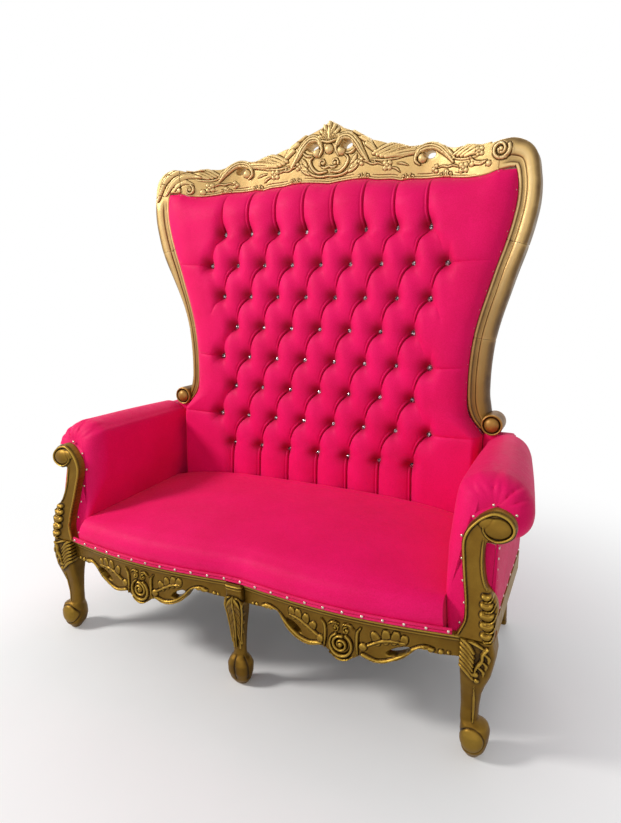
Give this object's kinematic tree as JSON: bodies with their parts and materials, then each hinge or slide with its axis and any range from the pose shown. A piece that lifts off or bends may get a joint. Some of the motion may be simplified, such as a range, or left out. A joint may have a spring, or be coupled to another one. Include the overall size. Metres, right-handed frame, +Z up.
{
  "type": "high back settee",
  "caption": "High back settee with a deep-buttoned leather back, tight crowned seat, rolled arms and a carved gilt frame on cabriole legs.",
  "frame": {"origin": "on the floor, under the middle of the settee's box", "axes": "+X to the right in a front view, -Y towards the front, +Z up"},
  "size_m": [1.6426, 0.7994, 1.788],
  "materials": {
    "antique_gold": "antique gold paint, satin, darker in the carving",
    "crest_gold": "light gold paint, satin",
    "pink_leather": "smooth fine-grained upholstery leather",
    "nailed_gimp": "leather welt with small bright nail heads",
    "frame_timber": "sawn hardwood, unfinished",
    "spring_steel": "drawn wire",
    "dust_cloth": "black non-woven cloth",
    "crystal": "faceted clear crystal, foil-backed",
    "nail_metal": "small bright round nail heads"
  },
  "bodies": {
    "root": {"front_rail_left": "antique_gold", "front_rail_right": "antique_gold", "side_rail_left": "antique_gold", "side_rail_right": "antique_gold", "front_leg_left": "antique_gold", "front_leg_right": "antique_gold", "front_leg_centre": "antique_gold", "rear_leg_left": "antique_gold", "rear_leg_right": "antique_gold", "rear_leg_centre": "antique_gold", "stile_lower_left": "antique_gold", "stile_lower_right": "antique_gold", "stile_middle_left": "antique_gold", "stile_middle_right": "antique_gold", "stile_upper_left": "antique_gold", "stile_upper_right": "antique_gold", "arm_post_left": "antique_gold", "arm_post_right": "antique_gold", "crest_rail": "crest_gold", "seat_pad": "pink_leather", "back_pad": "pink_leather", "arm_pad_left": "pink_leather", "arm_pad_right": "pink_leather", "outside_arm_panel_left": "pink_leather", "outside_arm_panel_right": "pink_leather", "outside_back_panel": "pink_leather", "front_gimp_left": "nailed_gimp", "front_gimp_right": "nailed_gimp", "stile_border_left": "nailed_gimp", "stile_border_right": "nailed_gimp", "crest_border": "nailed_gimp", "rear_rail": "frame_timber", "cross_rail_left": "frame_timber", "cross_rail_right": "frame_timber", "front_corner_block_left": "frame_timber", "front_corner_block_right": "frame_timber", "rear_corner_block_left": "frame_timber", "rear_corner_block_right": "frame_timber", "back_batten_top": "frame_timber", "back_batten_middle": "frame_timber", "back_batten_bottom": "frame_timber", "back_slat_low_left": "frame_timber", "back_slat_low_right": "frame_timber", "back_slat_high_left": "frame_timber", "back_slat_high_right": "frame_timber", "back_upright_left": "frame_timber", "back_upright_right": "frame_timber", "arm_rail_left": "frame_timber", "arm_rail_right": "frame_timber", "arm_back_post_left": "frame_timber", "arm_back_post_right": "frame_timber", "seat_spring_1": "spring_steel", "seat_spring_2": "spring_steel", "seat_spring_3": "spring_steel", "seat_spring_4": "spring_steel", "seat_spring_5": "spring_steel", "dust_cover": "dust_cloth"}
  },
  "joints": []
}
